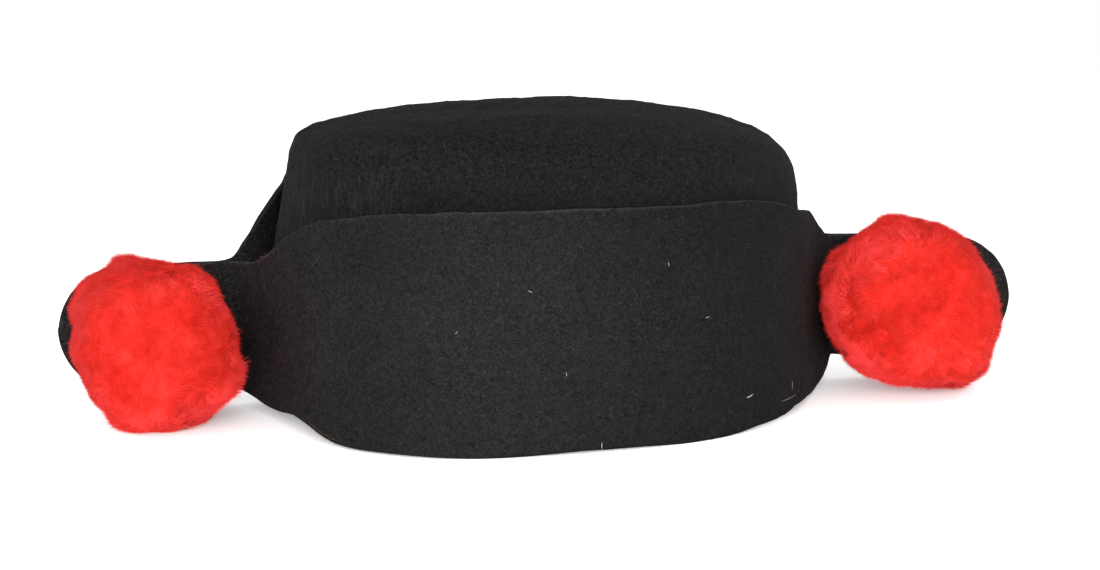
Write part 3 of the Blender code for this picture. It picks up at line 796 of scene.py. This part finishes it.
def strand_paths(pompom, coat, roots, tufts, nearest, source):
    """Return the roots, middles and tips of strands, and their directions."""
    count = len(roots)
    comb, lie = comb_ways(pompom, roots)
    length = coat.length * source.uniform(0.65, 1.25, size=count) * tufts.size[nearest]
    rise = coat.rise + tufts.rise[nearest] + source.normal(size=count) * STRAND_RISE
    stray = source.uniform(size=count) > 1.0 - STRAY_SHARE
    rise = np.where(stray, rise + STRAY_RISE, rise)
    turned = np.where(stray, STRAY_TURN, STRAND_TURN)[:, None]
    comb = unit(comb + source.normal(size=(count, 3)) * turned)
    path, ways = [], []
    for level in (0.0, 0.5, 1.0):
        turn = (length * lie * level / (pompom.size / 2.0))[:, None]
        own = roots * np.cos(turn) + comb * np.sin(turn)
        shared = tufts.ways[nearest] * np.cos(turn) + tufts.comb[nearest] * np.sin(turn)
        pull = coat.pull * level ** 1.5
        ways.append(unit(own * (1.0 - pull) + shared * pull))
        lift = sin(level * pi / 2.0) ** 0.9
        path.append(ball_points(pompom, ways[-1], FUR_DEPTH * (1.0 - lift) - rise * level ** 2))
    return path, ways


Zones = namedtuple("Zones", "rim outer low high")


def fur_zones(pompom, ways):
    """Return how far strands lie at the rim, away from the hat, low down and high up."""
    return Zones(fade(np.hypot(ways[:, 0], ways[:, 2]), 0.54, 0.94),
                 np.clip(0.5 + 0.5 * pompom.side * ways[:, 0] + 0.25 * ways[:, 2], 0.0, 1.0),
                 fade(ways[:, 2], -0.15, -0.75), fade(ways[:, 2], 0.45, 0.80))


def fur_facing(ways, centres, zones, source):
    """Return the normals of strands: outwards, forwards and round their tufts."""
    swell = unit(square_to(ways, centres))
    spread = np.linalg.norm(ways - centres, axis=1, keepdims=True) / TUFT_REACH
    forwards = fade(ways[:, 1], 0.5, -0.1)
    forwards *= 1.0 + 0.7 * zones.rim * (1.0 - zones.outer) + 0.4 * zones.high
    return unit(ways * 0.80 + np.array((0.0, -0.80, 0.08)) * forwards[:, None]
                + swell * np.minimum(spread, 1.0) * 0.16 + source.normal(size=ways.shape) * 0.10)


def fur_sides(pompom, ways, along):
    """Return the ways across strands that turn them outwards and to the camera."""
    front = unit(np.array(camera_axes()[0]) - pompom_middle(pompom))
    outwards = unit(square_to(ways, along))
    onwards = unit(square_to(np.broadcast_to(front, ways.shape), along))
    return unit(np.cross(along, outwards + onwards * (ways @ front > -0.1)[:, None]))


def fur_shades(pompom, ways, zones, rise, tone, source):
    """Return each strand's shade: by patch and tuft, with painted light and shade.

    Painted shade falls in sunk tufts and, duller, at the outer rim, deepest high up there; painted
    light falls on proud tufts, on the rim beside the hat, low down and high up.
    """
    count = len(ways)
    # A tuft's rise adds painted shade where it lies sunk, and painted light where it stands proud
    patch = (ripple(ways, 0.55, 60 + pompom.side) * 0.8 + ripple(ways, 0.17, 64 + pompom.side) * 0.6
             + rise / 0.0018 + tone)
    # Painted light: paler on the rim beside the hat, low down and high up
    level = (1.7 + patch + zones.rim * (1.0 - zones.outer) * 1.2 + zones.low * 1.4
             + zones.high * 0.5 + source.normal(size=count) * 0.25)
    inner = np.clip(np.round(level), 0, INNER_SHADES - 1)
    # The outer rim's painted shade, deepest high up
    rim = np.round(1.0 + patch * 0.6 - zones.high + source.normal(size=count) * 0.3)
    rim = INNER_SHADES + np.clip(rim, 0, len(FUR_SHADES) - INNER_SHADES - 1)
    # Strands at the outer rim take the rim's painted shade and pinker painted sheen
    dull = source.uniform(size=count) < zones.rim * zones.outer * 1.1
    return np.where(dull, rim, inner).astype(int)


def grow_fur(pompom, plan, coat, materials, seed):
    """Make one coat of a pompom's fur: ribbons that rise from its core and lie over it."""
    source = np.random.default_rng(seed)
    roots = unit(spread_ways(coat.strands, source.uniform(0.0, 6.0))
                 + source.normal(size=(coat.strands, 3)) * 0.012)
    tufts = make_tufts(pompom, source)
    nearest = np.concatenate([np.argmax(part @ tufts.ways.T, axis=1)
                              for part in np.array_split(roots, 12)])
    path, ways = strand_paths(pompom, coat, roots, tufts, nearest, source)
    keep = path[0][:, 1] < face_depth(path[0], plan, 0.0) - 0.0010
    keep &= path[0][:, 2] > 0.0012
    path = [keep_clear(step[keep], plan, 0.00025) for step in path]
    ways, nearest = ways[1][keep], nearest[keep]
    zones = fur_zones(pompom, ways)
    facing = fur_facing(ways, tufts.ways[nearest], zones, source)
    side = fur_sides(pompom, ways, unit(path[2] - path[0]))
    side *= (coat.width / 2.0 * source.uniform(0.7, 1.3, size=len(ways)))[:, None]
    shades = fur_shades(pompom, ways, zones, tufts.rise[nearest], tufts.tone[nearest], source)
    item = ribbon_object(f"{pompom.name}_fur_{coat.name}", path, side, 0.9, materials, shades,
                         facing)


def make_core(pompom, plan, material, seed):
    """Make the dense plush under a pompom's fur."""
    tilt = np.linspace(0.0, pi, CORE_RINGS + 1)[1:-1]
    around = np.arange(CORE_SEGMENTS) * 2.0 * pi / CORE_SEGMENTS
    tilt, around = np.meshgrid(tilt, around, indexing="ij")
    ways = np.stack((np.sin(tilt) * np.cos(around), -np.cos(tilt), np.sin(tilt) * np.sin(around)),
                    axis=-1).reshape(-1, 3)
    ways = np.concatenate((ways, ((0.0, -1.0, 0.0), (0.0, 1.0, 0.0))))
    inwards = FUR_DEPTH * CORE_SHARE + ripple(ways, 0.30, seed) * 0.00050
    inwards += ripple(ways, 0.10, seed + 1) * 0.0003
    points = keep_clear(ball_points(pompom, ways, inwards), plan, 0.0003)
    faces = [part[:, ::-1] for part in tube_faces(CORE_RINGS - 1, CORE_SEGMENTS)]
    item = mesh_object(pompom.name + "_plush", points, faces, [material])
    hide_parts(pompom.name)


# ---------- loose fibres


def scatter_on(item, count, seed):
    """Return random places on an object, with their normals."""
    mesh = item.data
    mesh.calc_loop_triangles()
    corners = np.empty(len(mesh.loop_triangles) * 3, dtype=np.int32)
    mesh.loop_triangles.foreach_get("vertices", corners)
    places = np.empty(len(mesh.vertices) * 3)
    mesh.vertices.foreach_get("co", places)
    triangles = places.reshape(-1, 3)[corners.reshape(-1, 3)]
    normals = np.cross(triangles[:, 1] - triangles[:, 0], triangles[:, 2] - triangles[:, 0])
    areas = np.linalg.norm(normals, axis=1)
    source = np.random.default_rng(seed)
    chosen = source.choice(len(areas), size=count, p=areas / areas.sum())
    first, second = source.uniform(size=(2, count))
    over = first + second > 1.0
    first, second = np.where(over, 1.0 - first, first), np.where(over, 1.0 - second, second)
    corner = triangles[chosen]
    points = (corner[:, 0] + (corner[:, 1] - corner[:, 0]) * first[:, None]
              + (corner[:, 2] - corner[:, 0]) * second[:, None])
    return points, unit(normals[chosen])


def make_fibres(name, points, normals, fibre, materials, seed):
    """Make short curved fibres on a surface."""
    source = np.random.default_rng(seed)
    count = len(points)
    spin = unit(np.cross(normals, source.normal(size=(count, 3))))
    lift = np.abs(source.normal(size=count)) * (1.0 - fibre.lean) + 0.08
    sizes = fibre.length * source.uniform(0.4, 1.5, size=count)
    bend = np.cross(normals, spin) * source.normal(size=(count, 1)) * 0.35
    root = points - normals * 0.0001
    middle = (points + (spin + bend) * (sizes * 0.5)[:, None]
              + normals * (sizes * lift * 0.5)[:, None])
    tip = points + spin * sizes[:, None] + normals * (sizes * lift * 0.75)[:, None]
    side = unit(np.cross(tip - root, normals)) * fibre.width / 2.0
    shades = source.integers(0, len(materials), size=count)
    item = ribbon_object(name, (root, middle, tip), side, 1.0, materials, shades, normals)


def make_flecks(pieces):
    """Lay the flecks on the felt pieces."""
    state = bpy.context.evaluated_depsgraph_get()
    surfaces = [BVHTree.FromObject(piece, state) for piece in pieces]
    kinds = list(FLECK_COLOURS)
    materials = [fibre_material("lint_" + kind, FLECK_COLOURS[kind]) for kind in kinds]
    points, faces, slots = [], [], []
    for fleck in FLECKS:
        start, normal = pixel_place(surfaces, fleck.across, fleck.down)
        end, _ = pixel_place(surfaces, fleck.to_across, fleck.to_down)
        side = (end - start).cross(normal).normalized()
        first = len(points)
        for index in range(5):
            share = index / 4.0
            middle = start.lerp(end, share) + normal * 0.00025
            middle += side * sin(share * pi) * fleck.bend
            half = fleck.width / 2.0 * (0.35 + 0.65 * sin(share * pi))
            points += [middle - side * half, middle + side * half]
            if index:
                last = first + 2 * index
                faces.append((last - 2, last - 1, last + 1, last))
                slots.append(kinds.index(fleck.shade))
    points = [tuple(point) for point in points]
    item = mesh_object("lint_flecks", points, (faces,), materials, slots)


def make_lint(name, pieces, patches, colours):
    """Scatter lint on the felt where the photograph shows it."""
    source = np.random.default_rng(97)
    places, normals = [], []
    for number, piece in enumerate(pieces):
        points, ways = scatter_on(piece, LINT_TRIES, 91 + number)
        pixels = photo_pixels(points)
        for patch in patches:
            turn = radians(patch.turn)
            off = pixels - np.array((patch.across, patch.down))
            along = (off[:, 0] * cos(turn) - off[:, 1] * sin(turn)) / patch.wide
            above = (off[:, 0] * sin(turn) + off[:, 1] * cos(turn)) / patch.tall
            chance = patch.share * np.exp(-along ** 2 - above ** 2)
            kept = (ways[:, 1] < 0.2) & (source.uniform(size=len(points)) < chance)
            places.append(points[kept])
            normals.append(ways[kept])
    make_fibres(name, np.concatenate(places), np.concatenate(normals), LINT,
                fibre_materials(colours), 98)


# ---------- materials


def set_inputs(node, inputs):
    """Link a node's inputs to sockets, or set them to values."""
    for name, value in inputs.items():
        if isinstance(value, bpy.types.NodeSocket):
            node.id_data.links.new(value, node.inputs[name])
        else:
            node.inputs[name].default_value = value


def new_material(name, roughness, specular=0.06):
    """Return a new material and its shader."""
    material = bpy.data.materials.new(name)
    material.use_nodes = True
    shader = material.node_tree.nodes["Principled BSDF"]
    set_inputs(shader, {"Roughness": roughness, "Specular IOR Level": specular})
    return material, shader


def add_node(beside, kind, inputs, **settings):
    """Add a node to the tree that another node or a socket is in."""
    node = beside.id_data.nodes.new(kind)
    for name, value in settings.items():
        setattr(node, name, value)
    set_inputs(node, inputs)
    return node


def object_place(shader):
    """Return the place on the object, for textures."""
    return add_node(shader, "ShaderNodeTexCoord", {}).outputs["Object"]


def noise(place, scale, detail, rough=0.6, distortion=0.0):
    """Add a noise that reads a place, and return its value."""
    return add_node(place, "ShaderNodeTexNoise", {
        "Vector": place, "Scale": scale, "Detail": detail, "Roughness": rough,
        "Distortion": distortion}).outputs["Fac"]


def stretched_noise(place, stretch, scale):
    """Return a noise drawn out into streaks by a stretch along each axis."""
    drawn = add_node(place, "ShaderNodeMapping", {"Vector": place, "Scale": stretch})
    return noise(drawn.outputs["Vector"], scale, 2.0)


def math_node(operation, socket, *values):
    """Add a maths node on a socket and other sockets or numbers, and return its value."""
    inputs = dict(enumerate((socket, *values)))
    return add_node(socket, "ShaderNodeMath", inputs, operation=operation).outputs[0]


def times(socket, factor):
    """Return a socket times a factor."""
    return math_node("MULTIPLY", socket, factor)


def times_add(socket, factor, addend):
    """Return a socket times a factor, and an addend more."""
    return math_node("MULTIPLY_ADD", socket, factor, addend)


def ramp(socket, low, high):
    """Return 0 where a socket is under low and 1 over high."""
    inputs = {"Value": socket, "From Min": low, "From Max": high}
    node = add_node(socket, "ShaderNodeMapRange", inputs, interpolation_type="SMOOTHSTEP")
    return node.outputs["Result"]


def mix_colour(share, first, second):
    """Mix two colours, each a socket or a colour, by a share."""
    inputs = {0: share, 6: first, 7: second}
    return add_node(share, "ShaderNodeMix", inputs, data_type="RGBA").outputs[2]


def add_bump(shader, strength, distance, height):
    """Roughen a shader's surface by a height."""
    inputs = {"Strength": strength, "Distance": distance, "Height": height}
    set_inputs(shader, {"Normal": add_node(shader, "ShaderNodeBump", inputs).outputs[0]})


Felt = namedtuple("Felt", "material shader place height tint")


def felt_material(name):
    """Return the parts of a pressed felt's material, and its grain.

    The tint is the four painted shares. The grain is about 1, and multiplies the colour.
    """
    material, shader = new_material(name, 0.90, 0.03)
    place = object_place(shader)
    height = add_node(place, "ShaderNodeSeparateXYZ", {"Vector": place}).outputs["Z"]
    painted = add_node(place, "ShaderNodeVertexColor", {}, layer_name="tint").outputs
    parts = add_node(place, "ShaderNodeSeparateColor", {"Color": painted["Color"]}).outputs
    fine = noise(place, 1500.0, 1.0)
    matted = noise(place, 760.0, 3.0, 0.6, 1.8)
    grain = times_add(fine, 0.6 * FELT_CONTRAST, 1.0 - 0.30 * FELT_CONTRAST)
    grain = times_add(matted, 3.6 * FELT_CONTRAST, grain)
    grain = times_add(noise(place, 60.0, 3.0), 0.5 * FELT_CONTRAST, grain)
    grain = math_node("SUBTRACT", grain, 2.05 * FELT_CONTRAST)
    grain = math_node("MAXIMUM", grain, 0.58)
    flecks = ramp(noise(place, 1250.0, 1.0, 0.5, 0.8), 0.60, 0.76)
    grain = times_add(flecks, 0.75, grain)
    add_bump(shader, 0.45, 0.00030, math_node("ADD", fine, matted))
    tint = (*parts[:3], painted["Alpha"])
    return Felt(material, shader, place, height, tint), grain


def finish_felt(felt, colour, grain):
    """Add the red lint that plush sheds, set a felt's colour, and return its material."""
    place, red = felt.place, felt.tint[0]
    lint = ramp(noise(place, 420.0, 4.0, 0.75, 1.5), 0.46, 0.74)
    clouds = times(red, ramp(noise(place, 120.0, 2.0), 0.40, 0.64))
    lint = times_add(lint, 0.036, 0.010)
    lint = times_add(clouds, lint, times(red, 0.004))
    colour = mix_colour(lint, colour, SHED_COLOUR)
    scaled = add_node(colour, "ShaderNodeVectorMath", {0: colour, 3: grain}, operation="SCALE")
    set_inputs(felt.shader, {"Base Color": scaled.outputs[0]})
    return felt.material


def crown_material():
    """Return the crown's felt: drawn across its top, with upright streaks at its front left."""
    felt, grain = felt_material("crown_felt")
    place, height, tint = felt.place, felt.height, felt.tint
    across = stretched_noise(place, (1.0, 0.20, 1.0), 1100.0)
    across = times(math_node("SUBTRACT", across, 0.5), ramp(height, 0.072, 0.090))
    grain = times_add(across, 2.3, grain)
    # Painted light, darker on the left and lighter towards the right
    grain = times(grain, times_add(tint[1], 0.17, 0.88))
    # Painted light: paler towards the crown's top, which faces the light from above
    grain = times(grain, times_add(ramp(height, 0.083, 0.100), 0.14, 1.0))
    streaks = ramp(stretched_noise(place, (1.0, 1.0, 0.10), 1000.0), 0.46, 0.68)
    gaps = ramp(stretched_noise(place, (1.0, 1.0, 0.16), 600.0), 0.36, 0.52)
    streaks = times(streaks, times(tint[2], gaps))
    return finish_felt(felt, CROWN_COLOUR, math_node("ADD", streaks, grain))


def panel_material():
    """Return the panels' felt: smoother pressed, with cut edges paler by a painted highlight."""
    felt, grain = felt_material("panel_felt")
    height, tint = felt.height, felt.tint
    # Painted highlight: a paler, bluer middle on the front panel
    colour = mix_colour(tint[2], PANEL_COLOUR, PANEL_HIGHLIGHT_COLOUR)
    # Painted highlight on the cut edges
    colour = mix_colour(tint[1], colour, CUT_HIGHLIGHT_COLOUR)
    coarse = times_add(tint[3], 0.7, 1.0)
    grain = times_add(math_node("SUBTRACT", grain, 1.0), coarse, 1.0)
    grain = math_node("MAXIMUM", grain, 0.35)
    # Painted light: paler at the panels' ends and beside the pompoms, where they lie in shade
    grain = times(grain, times_add(tint[3], 0.34, 1.0))
    grain = times(grain, times_add(ramp(height, 0.045, 0.068), -0.08, 1.0))
    return finish_felt(felt, colour, grain)


def plush_material(name, colour):
    """Return one shade of the fur, in duller and fuller clumps."""
    material, shader = new_material(name, 0.75)
    clumps = ramp(noise(object_place(shader), 340.0, 2.0), 0.36, 0.64)
    dull = (colour[0] * 0.94, colour[1] * 0.82, colour[2] * 0.78, 1.0)
    full = (min(colour[0] * 1.05, 0.9), colour[1] * 1.20, colour[2] * 1.24, 1.0)
    set_inputs(shader, {"Base Color": mix_colour(clumps, dull, full),
                              "Sheen Weight": 0.06, "Sheen Tint": SHEEN_COLOUR})
    return material


def core_material():
    """Return the dense plush under the fur."""
    material, shader = new_material("plush_core", 0.85)
    pile = noise(object_place(shader), 700.0, 4.0, 0.7, 1.0)
    set_inputs(shader, {"Base Color": mix_colour(ramp(pile, 0.35, 0.65),
                                                 *CORE_COLOURS)})
    add_bump(shader, 0.8, 0.0008, pile)
    return material


def fibre_material(name, colour):
    """Return a material for loose fibres, some a little deeper."""
    material, shader = new_material(name, 0.8)
    deep = tuple(part * 0.7 for part in colour)
    share = ramp(noise(object_place(shader), 500.0, 1.0), 0.4, 0.6)
    set_inputs(shader, {"Base Color": mix_colour(share, (*deep, 1.0), (*colour, 1.0))})
    return material


def fibre_materials(colours):
    """Return materials for loose fibres."""
    return [fibre_material(name, colour) for name, colour in colours.items()]


# ---------- camera, light and floor


def camera_axes():
    """Return the camera's place, and its forward, right and up directions."""
    place = Vector((-sin(CAMERA_TURN) * CAMERA_DISTANCE,
                    -cos(CAMERA_TURN) * CAMERA_DISTANCE, CAMERA_HEIGHT))
    forward = Vector((sin(CAMERA_TURN) * cos(CAMERA_PITCH),
                      cos(CAMERA_TURN) * cos(CAMERA_PITCH), -sin(CAMERA_PITCH)))
    level = Vector((cos(CAMERA_TURN), -sin(CAMERA_TURN), 0.0))
    above = level.cross(forward)
    right = level * cos(CAMERA_ROLL) + above * sin(CAMERA_ROLL)
    up = above * cos(CAMERA_ROLL) - level * sin(CAMERA_ROLL)
    return place, forward, right, up


def add_object(name, data):
    """Add a camera, a light or the floor to the scene."""
    item = bpy.data.objects.new(name, data)
    bpy.context.collection.objects.link(item)
    return item


def make_camera():
    """Make the camera that took the photograph."""
    place, forward, right, up = camera_axes()
    data = bpy.data.cameras.new("camera")
    data.sensor_width = SENSOR_WIDTH
    data.lens = FOCAL_PIXELS / PHOTO_WIDTH * SENSOR_WIDTH
    item = add_object("camera", data)
    turn = Matrix((right, up, -forward)).transposed()
    item.matrix_world = Matrix.Translation(place) @ turn.to_4x4()
    bpy.context.scene.camera = item


def pixel_place(surfaces, across, down):
    """Return where a pixel of the photograph meets a surface, and the normal there."""
    place, forward, right, up = camera_axes()
    way = (forward * FOCAL_PIXELS + right * (across - PHOTO_WIDTH / 2.0)
           + up * (PHOTO_HEIGHT / 2.0 - down)).normalized()
    hits = [surface.ray_cast(place, way) for surface in surfaces]
    hit, normal, _, _ = min((found for found in hits if found[0]), key=lambda found: found[3])
    return hit, normal


def photo_pixels(points):
    """Return points as the photograph's pixels, across and down."""
    place, forward, right, up = (np.array(way) for way in camera_axes())
    off = points - place
    depth = off @ forward
    return np.stack((PHOTO_WIDTH / 2.0 + off @ right / depth * FOCAL_PIXELS,
                     PHOTO_HEIGHT / 2.0 - off @ up / depth * FOCAL_PIXELS), axis=1)


def make_lights():
    """Make the soft lights and the white surroundings."""
    for light in LIGHTS:
        data = bpy.data.lights.new(light.name, "AREA")
        data.size = light.side
        data.energy = light.power
        item = add_object(light.name, data)
        item.location = light.place
        way = Vector(light.aim) - Vector(light.place)
        item.rotation_euler = way.to_track_quat("-Z", "Y").to_euler()
    data = bpy.data.lights.new("above", "SUN")
    data.energy = SUN_POWER
    data.angle = SUN_WIDTH
    add_object("above", data).rotation_euler = SUN_TURN
    world = bpy.data.worlds.new("surroundings")
    world.use_nodes = True
    set_inputs(world.node_tree.nodes["Background"], {"Color": WHITE, "Strength": 1.0})
    bpy.context.scene.world = world


def make_stage():
    """Make the pale floor, and set how the picture's tones are kept."""
    mesh = bpy.data.meshes.new("floor")
    near, far = -FLOOR_REACH, FLOOR_REACH
    corners = [(near, near, 0.0), (far, near, 0.0), (far, far, 0.0), (near, far, 0.0)]
    mesh.from_pydata(corners, [], [(0, 1, 2, 3)])
    floor = add_object("floor", mesh)
    material, shader = new_material("floor", 0.9)
    set_inputs(shader, {"Base Color": FLOOR_COLOUR, "Emission Color": WHITE,
                        "Emission Strength": FLOOR_GLOW})
    mesh.materials.append(material)
    settings = bpy.context.scene.view_settings
    settings.view_transform = "Standard"
    settings.look = "None"


# ---------- the hat

front_plan = panel_plan(-1, FRONT_LEFT, FRONT_RIGHT, FRONT_BENDS, FRONT_EDGES)
back_plan = panel_plan(1, BACK_LEFT, BACK_RIGHT, BACK_BENDS, BACK_EDGES)
depths = np.concatenate((front_plan.places[:, 1], back_plan.places[:, 1]))
SHIFT = -(depths.min() + depths.max()) / 2.0

panel_felt = panel_material()
make_camera()
make_lights()
make_stage()
crown = make_crown(crown_material())
front = make_panel("front_panel_felt", "front_panel", front_plan, panel_felt, 11, 1.0)
back = make_panel("back_panel_felt", "back_panel", back_plan, panel_felt, 21, 0.0)

felt_pieces = (crown, front, back)
fuzz = fibre_materials(FUZZ_COLOURS)
for number, (piece, count) in enumerate(zip(felt_pieces, FUZZ_COUNTS)):
    places, normals = scatter_on(piece, count, 71 + number)
    make_fibres(f"{piece.name}_fuzz", places, normals, FUZZ, fuzz, 81 + number)
make_flecks(felt_pieces)
make_lint("pink_lint", felt_pieces, PINK_PATCHES, PINK_COLOURS)
make_lint("tan_lint", felt_pieces, TAN_PATCHES, TAN_COLOURS)

core = core_material()
shades = [plush_material("plush_" + name, colour) for name, colour in FUR_SHADES]
for number, pompom in enumerate(POMPOMS):
    make_core(pompom, front_plan, core, 31 + number)
    for layer, coat in enumerate(COATS):
        grow_fur(pompom, front_plan, coat, shades, 41 + number + 2 * layer)
